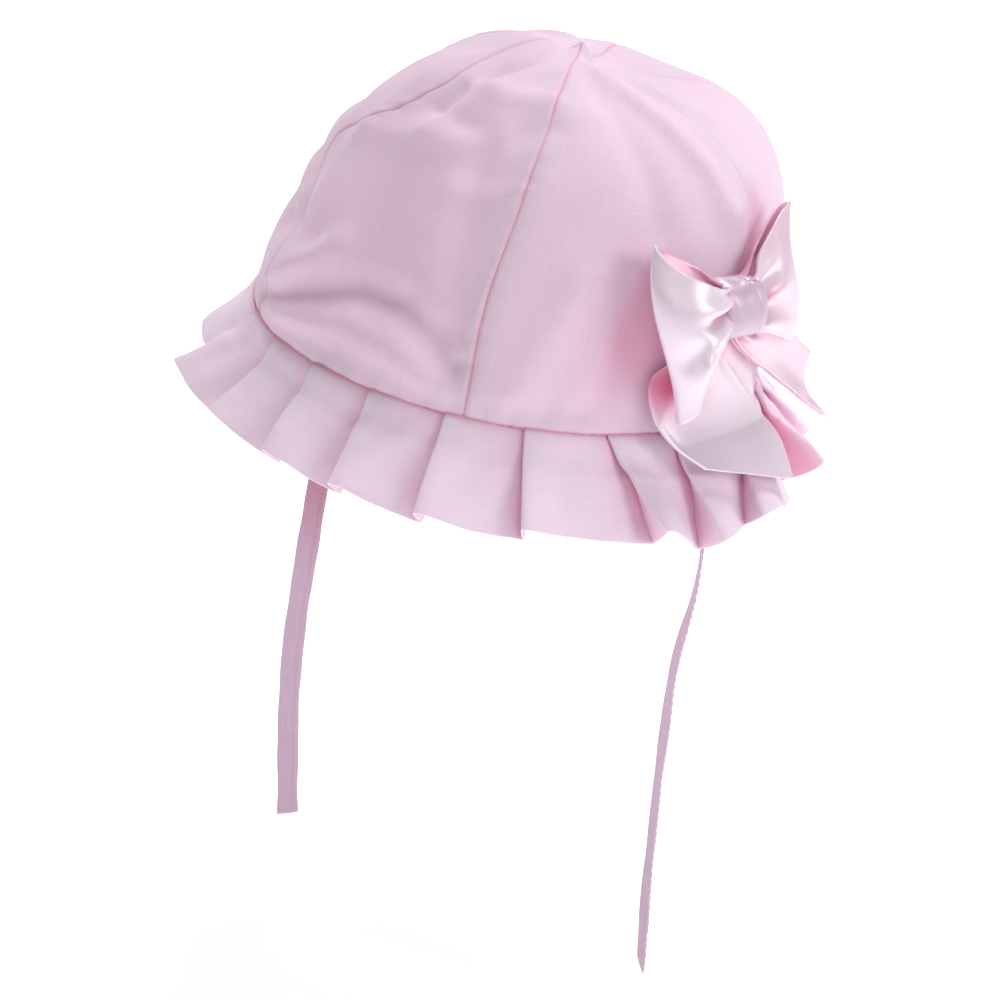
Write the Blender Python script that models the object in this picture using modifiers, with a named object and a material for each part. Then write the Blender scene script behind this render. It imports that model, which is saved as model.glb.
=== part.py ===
"""Baby sun bonnet: six gores, a knife-pleated brim, a ribbon bow and two flat ties.

Metres, +Z up along the bonnet. The origin is the centre of the head opening, level
with the seam between crown and brim. The wearer faces -Y and has their left at +X.
"""

import math

import bmesh
import bpy
from mathutils import Vector

# sizes
OPENING_RADIUS = 0.073
CROWN_HEIGHT = 0.0865
APEX_SETBACK = 0.0095
CLOTH_WALL = 0.0011
PIECE_GAP = 0.0005
GORE_COUNT = 6
GORE_COLUMNS = 10
GORE_ROWS = 15
TIP_WIDTH = 0.0016
SEAM_DIP = 0.0006

BRIM_WIDTH = 0.0300
BRIM_FLARE = 43.0
BRIM_WALL = 0.0010
BRIM_ROWS = 4
PLEAT_LIFT = 13.0
PLEAT_COLUMNS = 5

BOW_ANGLE = 2.0
BOW_HEIGHT = 0.0375
RIBBON_WIDTH = 0.0500
RIBBON_WALL = 0.0010
KNOT_WIDTH = 0.0160
KNOT_HEIGHT = 0.0165
KNOT_DEPTH = 0.0118
KNOT_STAND = 0.0003

TIE_WIDTH = 0.0064
TIE_THICKNESS = 0.0011
TIE_BACK_ANGLE = 11.0
TIE_RISE = 0.0030
TIE_REST = 0.0009
LEFT_TIE_LENGTH = 0.1735
RIGHT_TIE_LENGTH = 0.1865

# crown rings: share of the gore's length, share of the crown's height, share of the
# opening's radius, share of the apex setback, degrees the ring leans back
RING_COLUMNS = ("along", "height", "radius", "setback", "lean")
RINGS = (
    (0.00, 0.000, 1.000, 0.00, 0.0),
    (0.10, 0.130, 0.998, 0.14, 0.0),
    (0.22, 0.300, 0.982, 0.50, 0.0),
    (0.34, 0.465, 0.948, 0.95, 0.0),
    (0.46, 0.620, 0.880, 1.32, 0.0),
    (0.58, 0.760, 0.775, 1.50, 0.5),
    (0.70, 0.868, 0.622, 1.50, 1.5),
    (0.80, 0.926, 0.448, 1.36, 2.0),
    (0.90, 0.970, 0.238, 1.18, 4.0),
    (1.00, 1.000, 0.000, 1.00, 5.0),
)

# soft dents and ridges of the crown: angle, share along the gore, spread in degrees,
# spread along, outward push in metres
DENT_COLUMNS = ("angle", "along", "across", "length", "push")
DENTS = (
    (-88.0, 0.22, 10.0, 0.16, -0.0022),
    (-112.0, 0.12, 9.0, 0.10, 0.0012),
    (-30.0, 0.30, 12.0, 0.20, 0.0010),
    (-26.0, 0.80, 9.0, 0.10, -0.0012),
    (-140.0, 0.55, 38.0, 0.30, -0.0036),
    (150.0, 0.40, 12.0, 0.18, -0.0018),
    (95.0, 0.25, 11.0, 0.16, -0.0015),
    (215.0, 0.30, 10.0, 0.18, 0.0012),
)

# brim pleats, fold by fold: angle at the seam, angle at the hem, change of flare in
# degrees, how far the panel sinks under the next fold, share of the brim's width
PLEAT_COLUMN_NAMES = ("seam", "hem", "flare", "sink", "width")
PLEATS = (
    (-158.0, -158.0, -3.0, 2.6, 0.97),
    (-122.5, -128.0, -5.0, 1.0, 0.95),
    (-107.0, -106.0, -5.0, 1.0, 0.91),
    (-93.0, -90.0, -6.0, 1.0, 0.92),
    (-77.0, -75.0, -5.0, 1.0, 0.96),
    (-59.5, -59.5, -3.0, 1.0, 1.00),
    (-42.5, -42.0, 0.0, 1.3, 1.00),
    (-24.0, -20.5, 4.0, 1.4, 0.98),
    (-7.5, -6.5, -4.0, 1.0, 1.10),
    (6.0, 5.0, 0.0, 1.3, 1.02),
    (19.0, 13.5, 2.0, 1.2, 1.03),
    (34.0, 35.0, 2.0, 1.0, 1.00),
    (51.0, 52.0, -2.0, 1.2, 1.00),
    (68.0, 69.0, 1.0, 0.9, 0.98),
    (84.0, 84.0, 2.0, 1.1, 1.00),
    (101.0, 100.0, -3.0, 1.0, 1.00),
    (117.0, 117.0, 0.0, 1.2, 0.98),
    (134.0, 135.0, 2.0, 1.0, 1.00),
    (151.0, 150.0, -1.0, 1.1, 1.00),
    (167.0, 168.0, 1.0, 0.9, 0.98),
    (185.0, 184.0, -2.0, 1.0, 1.00),
)

# bow pieces, all as shares of the ribbon's width measured from the knot's centre: along
# the crown and up for the upper and the lower selvedge, and off the cloth. Plus along
# runs to the back of the head
RIBBON_COLUMNS = ("share", "upper_along", "upper_up", "lower_along", "lower_up", "off")
FRONT_LOOP = (
    (0.00, -0.160, 0.110, -0.160, -0.160, 0.220),
    (0.14, -0.250, 0.150, -0.230, -0.260, 0.310),
    (0.28, -0.375, 0.225, -0.285, -0.400, 0.340),
    (0.41, -0.500, 0.290, -0.365, -0.560, 0.290),
    (0.50, -0.570, 0.310, -0.410, -0.620, 0.210),
    (0.59, -0.520, 0.300, -0.380, -0.580, 0.150),
    (0.73, -0.380, 0.265, -0.300, -0.430, 0.130),
    (0.87, -0.250, 0.195, -0.230, -0.270, 0.130),
    (1.00, -0.160, 0.110, -0.160, -0.160, 0.140),
)
BACK_LOOP = (
    (0.00, 0.160, 0.110, 0.160, -0.160, 0.210),
    (0.15, 0.230, 0.180, 0.230, -0.190, 0.230),
    (0.29, 0.310, 0.260, 0.310, -0.230, 0.215),
    (0.41, 0.390, 0.340, 0.370, -0.330, 0.185),
    (0.50, 0.460, 0.410, 0.410, -0.440, 0.150),
    (0.59, 0.450, 0.410, 0.400, -0.450, 0.125),
    (0.73, 0.360, 0.350, 0.330, -0.370, 0.120),
    (0.87, 0.250, 0.230, 0.250, -0.240, 0.125),
    (1.00, 0.160, 0.120, 0.160, -0.160, 0.135),
)
FRONT_TAIL = (
    (0.00, -0.130, -0.200, -0.020, -0.205, 0.080),
    (0.16, -0.320, -0.290, -0.030, -0.330, 0.050),
    (0.34, -0.490, -0.410, 0.030, -0.440, 0.045),
    (0.58, -0.510, -0.590, 0.190, -0.600, 0.050),
    (0.80, -0.410, -0.740, 0.340, -0.790, 0.075),
    (1.00, -0.240, -0.855, 0.420, -1.030, 0.100),
)
BACK_TAIL = (
    (0.00, 0.150, -0.190, 0.035, -0.205, 0.080),
    (0.30, 0.420, -0.200, 0.240, -0.360, 0.050),
    (0.60, 0.640, -0.280, 0.500, -0.520, 0.070),
    (0.84, 0.770, -0.390, 0.740, -0.680, 0.150),
    (1.00, 0.800, -0.440, 0.900, -0.800, 0.240),
)

# tie routes: share of the length down, sway in metres, swing towards -Y, degrees the
# flat side is turned from facing the head
TIE_COLUMNS = ("down", "sway", "swing", "turn")
RIGHT_TIE = (
    (0.00, 0.0000, 0.0000, 0.0),
    (0.12, 0.0008, 0.0010, -6.0),
    (0.25, 0.0004, 0.0022, -22.0),
    (0.40, -0.0008, 0.0036, -38.0),
    (0.54, 0.0004, 0.0050, -42.0),
    (0.68, 0.0022, 0.0064, -42.0),
    (0.80, 0.0056, 0.0076, -40.0),
    (0.90, 0.0100, 0.0084, -42.0),
    (1.00, 0.0148, 0.0090, -43.0),
)
LEFT_TIE = (
    (0.00, 0.0000, 0.0000, 0.0),
    (0.10, 0.0022, 0.0000, 4.0),
    (0.20, 0.0048, 0.0000, 16.0),
    (0.32, 0.0054, -0.0008, 32.0),
    (0.46, 0.0034, -0.0016, 42.0),
    (0.58, 0.0046, -0.0022, 47.0),
    (0.70, 0.0062, -0.0030, 44.0),
    (0.82, 0.0082, -0.0038, 47.0),
    (0.92, 0.0104, -0.0044, 50.0),
    (1.00, 0.0122, -0.0050, 49.0),
)


def table(columns, rows):
    return [dict(zip(columns, row)) for row in rows]


def smooth_value(rows, key, column, where):
    """The column's value at key = where, along a smooth curve through the rows."""
    last = len(rows) - 1
    where = min(max(where, rows[0][key]), rows[last][key])
    i = 0
    while i < last - 1 and rows[i + 1][key] < where:
        i += 1
    x0 = rows[i][key]
    x1 = rows[i + 1][key]
    y0 = rows[i][column]
    y1 = rows[i + 1][column]

    def slope(k):
        a = max(k - 1, 0)
        b = min(k + 1, last)
        return (rows[b][column] - rows[a][column]) / (rows[b][key] - rows[a][key])

    step = x1 - x0
    u = (where - x0) / step
    h00 = (1 + 2 * u) * (1 - u) ** 2
    h10 = u * (1 - u) ** 2
    h01 = u * u * (3 - 2 * u)
    h11 = u * u * (u - 1)
    return h00 * y0 + h10 * step * slope(i) + h01 * y1 + h11 * step * slope(i + 1)


def gore_shape(angle, along):
    """Factor on the radius that turns the round section into six soft panels."""
    span = 360.0 / GORE_COUNT
    off = (angle % span) - span / 2
    flat = 0.12 * min(1.0, 4.0 * along) + 0.50 * along ** 2
    facet = math.cos(math.radians(span / 2)) / math.cos(math.radians(off))
    return 1.0 + flat * (facet - 1.0)


def dent_push(angle, along):
    push = 0.0
    for dent in table(DENT_COLUMNS, DENTS):
        turn = (angle - dent["angle"] + 180.0) % 360.0 - 180.0
        across = turn / dent["across"]
        length = (along - dent["along"]) / dent["length"]
        push += dent["push"] * math.exp(-across * across - length * length)
    return push


def crown_point(angle, along):
    """Outer surface of the crown: row angle in degrees, share of the gore's length."""
    rings = table(RING_COLUMNS, RINGS)
    height = CROWN_HEIGHT * smooth_value(rings, "along", "height", along)
    radius = OPENING_RADIUS * smooth_value(rings, "along", "radius", along)
    setback = APEX_SETBACK * smooth_value(rings, "along", "setback", along)
    lean = math.radians(smooth_value(rings, "along", "lean", along))
    push = dent_push(angle, along)
    radius = max(radius, 0.0) * gore_shape(angle, along) + push * (1.0 - along)
    x = radius * math.cos(math.radians(angle))
    y = radius * math.sin(math.radians(angle))
    return Vector((x, y + setback, height + push * along - y * math.tan(lean)))


def cloth_radius(angle, height):
    """How far from the origin's axis the cloth stands at an angle and a height."""
    if height < 0.0:
        slope = math.tan(math.radians(BRIM_FLARE))
        return OPENING_RADIUS - height * slope + min(0.0040, -0.25 * height)
    rings = table(RING_COLUMNS, RINGS)
    radius = OPENING_RADIUS * smooth_value(rings, "height", "radius", height / CROWN_HEIGHT)
    setback = APEX_SETBACK * smooth_value(rings, "height", "setback", height / CROWN_HEIGHT)
    turn = math.radians(angle)
    inner = radius ** 2 - (setback * math.cos(turn)) ** 2
    return setback * math.sin(turn) + math.sqrt(inner)


def bow_point(along, up, off):
    """A point of the bow, wrapped round the side of the bonnet."""
    turn = BOW_ANGLE + math.degrees(along / OPENING_RADIUS)
    height = BOW_HEIGHT + up
    radius = cloth_radius(turn, height) + off
    return Vector((
        radius * math.cos(math.radians(turn)),
        radius * math.sin(math.radians(turn)),
        height,
    ))


def new_object(name, mesh, collection, material):
    obj = bpy.data.objects.new(name, mesh)
    mesh.materials.append(material)
    collection.objects.link(obj)
    return obj


def add_wall(obj, thickness, offset):
    wall = obj.modifiers.new("wall", "SOLIDIFY")
    wall.thickness = thickness
    wall.offset = offset
    wall.use_even_offset = True


def sheet_mesh(name, columns, rows, place, wrap=False):
    """A grid of columns by rows whose points place(u, v) sets, u and v from 0 to 1."""
    grid = bmesh.new()
    bmesh.ops.create_grid(grid, x_segments=columns, y_segments=rows, size=1.0)
    for vertex in grid.verts:
        u = (vertex.co.x + 1.0) / 2
        v = (vertex.co.y + 1.0) / 2
        vertex.co = place(u, v)
    if wrap:
        bmesh.ops.remove_doubles(grid, verts=grid.verts, dist=0.00001)
    bmesh.ops.recalc_face_normals(grid, faces=grid.faces)
    mesh = bpy.data.meshes.new(name)
    grid.to_mesh(mesh)
    grid.free()
    return mesh


def face_outward(mesh, outward):
    """Turns the sheet so that its normals agree with outward(point)."""
    agree = 0.0
    for face in mesh.polygons:
        agree += face.normal.dot(outward(face.center)) * face.area
    if agree < 0:
        mesh.flip_normals()


def add_gore(number, collection, material):
    span = 360.0 / GORE_COUNT
    start = (number - 1) * span
    last_along = 1.0
    while True:
        point = crown_point(start, last_along)
        reach = math.hypot(point.x, point.y - APEX_SETBACK)
        if reach * math.radians(span) > TIP_WIDTH:
            break
        last_along -= 0.002

    def place(u, v):
        along = last_along * v
        edge = crown_point(start, along)
        setback = crown_point(start + 180.0, along)
        reach = (Vector((edge.x, edge.y)) - Vector((setback.x, setback.y))).length / 2
        inset = math.degrees(PIECE_GAP / 2 / reach)
        angle = start + inset + (span - 2 * inset) * u
        point = crown_point(angle, along)
        side = max(0.0, 1.0 - 12.0 * min(u, 1.0 - u))
        pull = SEAM_DIP * side * (1.0 - along)
        point.x -= pull * math.cos(math.radians(angle))
        point.y -= pull * math.sin(math.radians(angle))
        point.z += PIECE_GAP * (1.0 - v)
        return point

    name = "crown_gore_%d" % number
    mesh = sheet_mesh(name, GORE_COLUMNS, GORE_ROWS, place)
    face_outward(mesh, lambda centre: centre)
    obj = new_object(name, mesh, collection, material)
    add_wall(obj, CLOTH_WALL, -1.0)


def brim_point(angle, down, flare, width):
    """A point of the brim cloth: angle, share of its width below the seam, flare."""
    ease = math.radians(flare) * (0.55 + 0.45 * min(1.0, down * 2.5))
    length = BRIM_WIDTH * width * down
    radius = OPENING_RADIUS - 0.0002 + length * math.sin(ease)
    return Vector((
        radius * math.cos(math.radians(angle)),
        radius * math.sin(math.radians(angle)),
        -PIECE_GAP / 2 - length * math.cos(ease),
    ))


def add_brim(collection, material):
    folds = table(PLEAT_COLUMN_NAMES, PLEATS)
    count = len(folds)
    steps = count * PLEAT_COLUMNS

    def place(u, v):
        column = int(round(u * steps)) % steps
        pleat = column // PLEAT_COLUMNS
        part = column % PLEAT_COLUMNS
        here = folds[pleat]
        after = dict(folds[(pleat + 1) % count])
        if pleat == count - 1:
            after["seam"] += 360.0
            after["hem"] += 360.0
        # the panel starts on top of its fold and slopes down to pass under the next
        share = 0.0 if part == 0 else 0.02 + 0.94 * part / (PLEAT_COLUMNS - 1)
        down = 1.0 - v
        seam = here["seam"] + (after["seam"] - here["seam"]) * share
        hem = here["hem"] + (after["hem"] - here["hem"]) * share
        angle = seam + (hem - seam) * down
        turn = here["flare"] + (after["flare"] - here["flare"]) * share
        lift = PLEAT_LIFT * (0.5 - here["sink"] * share)
        flare = BRIM_FLARE + turn + lift * min(1.0, 0.25 + down)
        width = here["width"] + (after["width"] - here["width"]) * share
        return brim_point(angle, down, flare, width)

    mesh = sheet_mesh("brim", steps, BRIM_ROWS, place, wrap=True)
    face_outward(mesh, lambda centre: Vector((centre.x, centre.y, 0.0)))
    obj = new_object("brim", mesh, collection, material)
    add_wall(obj, BRIM_WALL, -1.0)


def add_ribbon(name, rows, columns, steps, bulge, collection, material):
    """A strip of ribbon between its upper and its lower selvedge."""
    stations = table(RIBBON_COLUMNS, rows)

    def place(u, v):
        value = {}
        for column in RIBBON_COLUMNS[1:]:
            value[column] = RIBBON_WIDTH * smooth_value(stations, "share", column, v)
        along = value["upper_along"] + (value["lower_along"] - value["upper_along"]) * u
        up = value["upper_up"] + (value["lower_up"] - value["upper_up"]) * u
        belly = 4.0 * u * (1.0 - u)
        along *= 1.0 + bulge * belly * math.sin(math.pi * v) ** 2
        off = value["off"] + 0.03 * RIBBON_WIDTH * belly * math.sin(math.pi * v)
        return bow_point(along, up, off)

    mesh = sheet_mesh(name, columns, steps, place)
    obj = new_object(name, mesh, collection, material)
    add_wall(obj, RIBBON_WALL, 0.0)


def add_knot(collection, material):
    ball = bmesh.new()
    bmesh.ops.create_cube(ball, size=1.0)
    bmesh.ops.bevel(
        ball,
        geom=list(ball.edges),
        offset=0.22,
        segments=3,
        profile=0.5,
        affect="EDGES",
    )
    middle = KNOT_STAND + KNOT_DEPTH / 2
    for vertex in ball.verts:
        waist = 1.0 - 0.10 * math.cos(2.0 * math.pi * vertex.co.x)
        vertex.co = bow_point(
            vertex.co.x * (KNOT_WIDTH - 2 * PIECE_GAP),
            vertex.co.y * KNOT_HEIGHT * waist - 0.0012,
            middle + vertex.co.z * KNOT_DEPTH,
        )
    bmesh.ops.recalc_face_normals(ball, faces=ball.faces)
    mesh = bpy.data.meshes.new("bow_knot")
    ball.to_mesh(mesh)
    ball.free()
    new_object("bow_knot", mesh, collection, material)


def add_tie(name, side, length, rows, collection, material):
    stations = table(TIE_COLUMNS, rows)
    turn = math.radians(TIE_BACK_ANGLE)
    reach = OPENING_RADIUS - CLOTH_WALL - TIE_REST - TIE_THICKNESS / 2
    start = Vector((side * reach * math.cos(turn), reach * math.sin(turn), TIE_RISE))

    def place(u, v):
        down = 1.0 - v
        sway = smooth_value(stations, "down", "sway", down)
        swing = smooth_value(stations, "down", "swing", down)
        twist = smooth_value(stations, "down", "turn", down)
        face = math.radians(90.0 + side * TIE_BACK_ANGLE + twist)
        across = (u - 0.5) * TIE_WIDTH
        centre = start + Vector((sway, -swing, -(length + TIE_RISE) * down))
        slant = 0.0 if v > 0.001 else across * 0.35
        return centre + Vector((across * math.cos(face), across * math.sin(face), slant))

    mesh = sheet_mesh(name, 2, 34, place)
    obj = new_object(name, mesh, collection, material)
    add_wall(obj, TIE_THICKNESS, 0.0)


def make_material(name, colour, roughness, sheen):
    material = bpy.data.materials.new(name)
    material.use_nodes = True
    shader = material.node_tree.nodes["Principled BSDF"]
    shader.inputs["Base Color"].default_value = (*colour, 1.0)
    shader.inputs["Roughness"].default_value = roughness
    shader.inputs["Sheen Weight"].default_value = sheen
    return material


def clear_scene():
    for obj in list(bpy.data.objects):
        bpy.data.objects.remove(obj)


def build():
    clear_scene()
    bonnet = bpy.data.collections.new("baby_sun_bonnet")
    bpy.context.scene.collection.children.link(bonnet)
    cotton = make_material("pale pink cotton", (0.86, 0.66, 0.74), 0.85, 0.3)
    for number in range(1, GORE_COUNT + 1):
        add_gore(number, bonnet, cotton)
    add_brim(bonnet, cotton)
    satin = make_material("pale pink satin", (0.90, 0.74, 0.82), 0.35, 0.5)
    add_ribbon("bow_loop_front", FRONT_LOOP, 6, 28, 0.22, bonnet, satin)
    add_ribbon("bow_loop_back", BACK_LOOP, 6, 28, 0.10, bonnet, satin)
    add_knot(bonnet, satin)
    add_ribbon("bow_tail_front", FRONT_TAIL, 6, 12, 0.0, bonnet, satin)
    add_ribbon("bow_tail_back", BACK_TAIL, 6, 12, 0.0, bonnet, satin)
    add_tie("tie_left", 1.0, LEFT_TIE_LENGTH, LEFT_TIE, bonnet, cotton)
    add_tie("tie_right", -1.0, RIGHT_TIE_LENGTH, RIGHT_TIE, bonnet, cotton)


build()
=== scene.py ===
import bpy
import math
import numpy as np
from mathutils import Matrix, Vector, noise


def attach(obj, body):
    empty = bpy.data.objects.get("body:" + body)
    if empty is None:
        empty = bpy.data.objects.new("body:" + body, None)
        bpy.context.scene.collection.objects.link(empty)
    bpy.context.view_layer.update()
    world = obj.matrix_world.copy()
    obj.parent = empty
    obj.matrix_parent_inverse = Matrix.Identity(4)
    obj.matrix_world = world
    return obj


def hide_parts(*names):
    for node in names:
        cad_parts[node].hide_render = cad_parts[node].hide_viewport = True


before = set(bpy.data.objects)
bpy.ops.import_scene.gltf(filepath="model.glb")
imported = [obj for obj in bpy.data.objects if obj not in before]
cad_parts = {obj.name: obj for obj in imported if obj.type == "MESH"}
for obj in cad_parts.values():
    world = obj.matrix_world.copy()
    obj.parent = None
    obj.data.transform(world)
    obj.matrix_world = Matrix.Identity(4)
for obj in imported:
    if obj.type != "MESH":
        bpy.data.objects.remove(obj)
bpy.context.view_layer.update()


# small helpers

def table(columns, rows):
    return [dict(zip(columns, row)) for row in rows]


def smoothCurve(rows, key, column):
    # a smooth curve through the rows of a table, as a function of arrays
    xs = np.array([row[key] for row in rows], float)
    ys = np.array([row[column] for row in rows], float)
    slopes = np.empty(len(xs))
    slopes[1:-1] = (ys[2:] - ys[:-2]) / (xs[2:] - xs[:-2])
    slopes[0] = (ys[1] - ys[0]) / (xs[1] - xs[0])
    slopes[-1] = (ys[-1] - ys[-2]) / (xs[-1] - xs[-2])

    def value(where):
        where = np.clip(where, xs[0], xs[-1])
        i = np.clip(np.searchsorted(xs, where) - 1, 0, len(xs) - 2)
        step = xs[i + 1] - xs[i]
        u = (where - xs[i]) / step
        return ((1 + 2 * u) * (1 - u) ** 2 * ys[i] + u * (1 - u) ** 2 * step * slopes[i]
                + u * u * (3 - 2 * u) * ys[i + 1] + u * u * (u - 1) * step * slopes[i + 1])

    return value


def unit(vectors):
    return vectors / np.maximum(np.linalg.norm(vectors, axis=-1, keepdims=True), 1e-12)


def softNoise(points, size, seed):
    # smooth noise from -1 to 1, its bumps about size metres wide
    flat = points.reshape(-1, 3) / size + seed
    found = [noise.noise(Vector(p)) for p in flat.tolist()]
    return np.array(found).reshape(points.shape[:-1])


# keeps the level part of a point
level = np.array([1.0, 1.0, 0.0])


def smoothStep(low, high, where):
    t = np.clip((where - low) / (high - low), 0, 1)
    return t * t * (3 - 2 * t)


def atTurn(radius, turn, height):
    # the points at a distance from the axis, an angle in radians and a height
    return np.stack([radius * np.cos(turn), radius * np.sin(turn), height], -1)


def bell(where, wide):
    return np.exp(-(where / wide) ** 2)


def addObject(name, data):
    thing = bpy.data.objects.new(name, data)
    bpy.context.scene.collection.objects.link(thing)
    return thing


# camera

camera = {
    "azimuth": 39.5, "elevation": 19.9, "lean": 11.0, "distance": 1.005,
    "aimRight": 0.0077, "aimUp": -0.0477, "lens": 126.0, "sensor": 36.0, "farthest": 20.0,
}


def wayBack(azimuth, elevation):
    # from the bonnet towards a camera or a light, at degrees from the front and the floor
    a, e = math.radians(azimuth), math.radians(elevation)
    return Vector((math.sin(a) * math.cos(e), -math.cos(a) * math.cos(e), math.sin(e)))


def addCamera():
    azimuth, lean = math.radians(camera["azimuth"]), math.radians(camera["lean"])
    back = wayBack(camera["azimuth"], camera["elevation"])
    side = Vector((math.cos(azimuth), math.sin(azimuth), 0))
    place = back * camera["distance"]
    aim = side * camera["aimRight"] + side.cross(-back) * camera["aimUp"]
    ahead = (aim - place).normalized()
    right = ahead.cross(Vector((0, 0, 1))).normalized()
    up = right.cross(ahead)
    leanRight = right * math.cos(lean) + up * math.sin(lean)
    leanUp = up * math.cos(lean) - right * math.sin(lean)
    data = bpy.data.cameras.new("view")
    data.lens = camera["lens"]
    data.sensor_width = camera["sensor"]
    data.clip_end = camera["farthest"]
    eye = addObject("view", data)
    turned = Matrix((leanRight, leanUp, -ahead)).transposed().to_4x4()
    eye.matrix_world = Matrix.Translation(place) @ turned
    bpy.context.scene.camera = eye


addCamera()
print("camera set")


# cloth meshes

def shellPart(middle, thickness, uv, deep, outward, wrap=False, rim=0.7):
    # a sheet with rounded edges round a grid of middle points, columns by rows
    columns, rows = middle.shape[:2]
    if wrap:
        around = np.concatenate([middle[-1:], middle, middle[:1]])
        across = around[2:] - around[:-2]
    else:
        across = np.gradient(middle, axis=0)
    along = np.gradient(middle, axis=1)
    normal = unit(np.cross(across, along))
    flip = (normal * outward).sum() < 0
    if flip:
        normal = -normal
    half = np.broadcast_to(np.asarray(thickness, float) / 2, (columns, rows))[..., None]
    index = np.arange(columns * rows).reshape(columns, rows)
    nextColumn = np.roll(index, -1, 0) if wrap else index[1:]
    here = index if wrap else index[:-1]
    quads = np.stack([here[:, :-1], nextColumn[:, :-1], nextColumn[:, 1:], here[:, 1:]], -1).reshape(-1, 4)
    if flip:
        quads = quads[:, ::-1]
    deep = np.clip(np.broadcast_to(deep, (columns, rows)), 0, 1)
    flatMiddle, flatNormal, flatHalf = middle.reshape(-1, 3), normal.reshape(-1, 3), half.reshape(-1, 1)
    places = [flatMiddle + flatNormal * flatHalf, flatMiddle - flatNormal * flatHalf]
    uvs, deeps = [uv.reshape(-1, 2)] * 2, [deep.reshape(-1)] * 2
    faces = [quads, quads[:, ::-1] + columns * rows]
    count = 2 * columns * rows
    if wrap:
        edges = [(index[:, 0], -along[:, 0], 1), (index[:, -1], along[:, -1], -1)]
    else:
        ring = np.concatenate([index[:-1, 0], index[-1, :-1], index[:0:-1, -1], index[0, :0:-1]])
        out = np.zeros((columns, rows, 3))
        out[:, 0] -= unit(along[:, 0])
        out[:, -1] += unit(along[:, -1])
        out[0] -= unit(across[0])
        out[-1] += unit(across[-1])
        edges = [(ring, out.reshape(-1, 3)[ring], 1)]
    for ring, out, turn in edges:
        turn = -turn if flip else turn
        out, last = unit(out), ring
        for slant in (50, 0, -50):
            c, s = math.cos(math.radians(slant)), math.sin(math.radians(slant))
            places.append(flatMiddle[ring] + flatHalf[ring] * (out * c * rim + flatNormal[ring] * s))
            uvs.append(uv.reshape(-1, 2)[ring])
            deeps.append(deep.reshape(-1)[ring])
            new = np.arange(count, count + len(ring))
            count += len(ring)
            faces.append(stripFaces(last, new, turn))
            last = new
        faces.append(stripFaces(last, ring + columns * rows, turn))
    return np.concatenate(places), np.concatenate(faces), np.concatenate(uvs), np.concatenate(deeps)


def stripFaces(top, bottom, turn):
    strip = np.stack([top, bottom, np.roll(bottom, -1), np.roll(top, -1)], -1)
    return strip if turn > 0 else strip[:, ::-1]


def newMesh(name, parts):
    # one mesh object out of parts that are each points, faces, uvs and amounts of deeper colour, which mark
    # seam lines and painted shade
    places, quads, uvs, deeps = zip(*parts)
    starts = np.cumsum([0] + [len(part) for part in places])
    faces = [face for part, first in zip(quads, starts) for face in (part + first).tolist()]
    mesh = bpy.data.meshes.new(name)
    mesh.from_pydata(np.concatenate(places).tolist(), [], faces)
    corners = np.empty(len(mesh.loops), np.int32)
    mesh.loops.foreach_get("vertex_index", corners)
    layer = mesh.uv_layers.new(name="cloth")
    layer.data.foreach_set("uv", np.concatenate(uvs)[corners].astype(np.float32).ravel())
    shade = mesh.attributes.new("deep", "FLOAT", "POINT")
    shade.data.foreach_set("value", np.concatenate(deeps).astype(np.float32))
    mesh.shade_smooth()
    return addObject(name, mesh)


def keep(piece, material, node):
    # the finish of a piece, what it moves with, and the imported solid that it hides
    piece.data.materials.append(material)
    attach(piece, "root")
    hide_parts(node)


# cloth materials

def newMaterial(name):
    material = bpy.data.materials.new(name)
    material.use_nodes = True
    tree = material.node_tree
    return material, tree, tree.nodes["Principled BSDF"]


def addNode(tree, kind, values=(), **settings):
    node = tree.nodes.new(kind)
    for key, value in settings.items():
        setattr(node, key, value)
    for socket, value in dict(values).items():
        node.inputs[socket].default_value = value
    return node


def joinAll(tree, pairs):
    for source, target in pairs:
        tree.links.new(source, target)


def stretchedNoise(tree, source, scale):
    mapping = addNode(tree, "ShaderNodeMapping", {"Scale": scale})
    made = addNode(tree, "ShaderNodeTexNoise", {"Scale": 1.0, "Detail": 3.0, "Roughness": 0.6})
    joinAll(tree, ((source, mapping.inputs["Vector"]), (mapping.outputs["Vector"], made.inputs["Vector"])))
    return made.outputs["Fac"]


def mathNode(tree, operation, first, second):
    node = addNode(tree, "ShaderNodeMath", operation=operation)
    for socket, value in zip(node.inputs, (first, second)):
        if isinstance(value, (int, float)):
            socket.default_value = value
        else:
            tree.links.new(value, socket)
    return node.outputs[0]


def mixColour(tree, factor, first, second):
    node = addNode(tree, "ShaderNodeMix", data_type="RGBA")
    sockets = node.inputs["Factor"], node.inputs[6], node.inputs[7]
    for socket, value in zip(sockets, (factor, first, second)):
        if isinstance(value, tuple):
            socket.default_value = (*value, 1)
        elif isinstance(value, float):
            socket.default_value = value
        else:
            tree.links.new(value, socket)
    return node.outputs[2]


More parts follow.
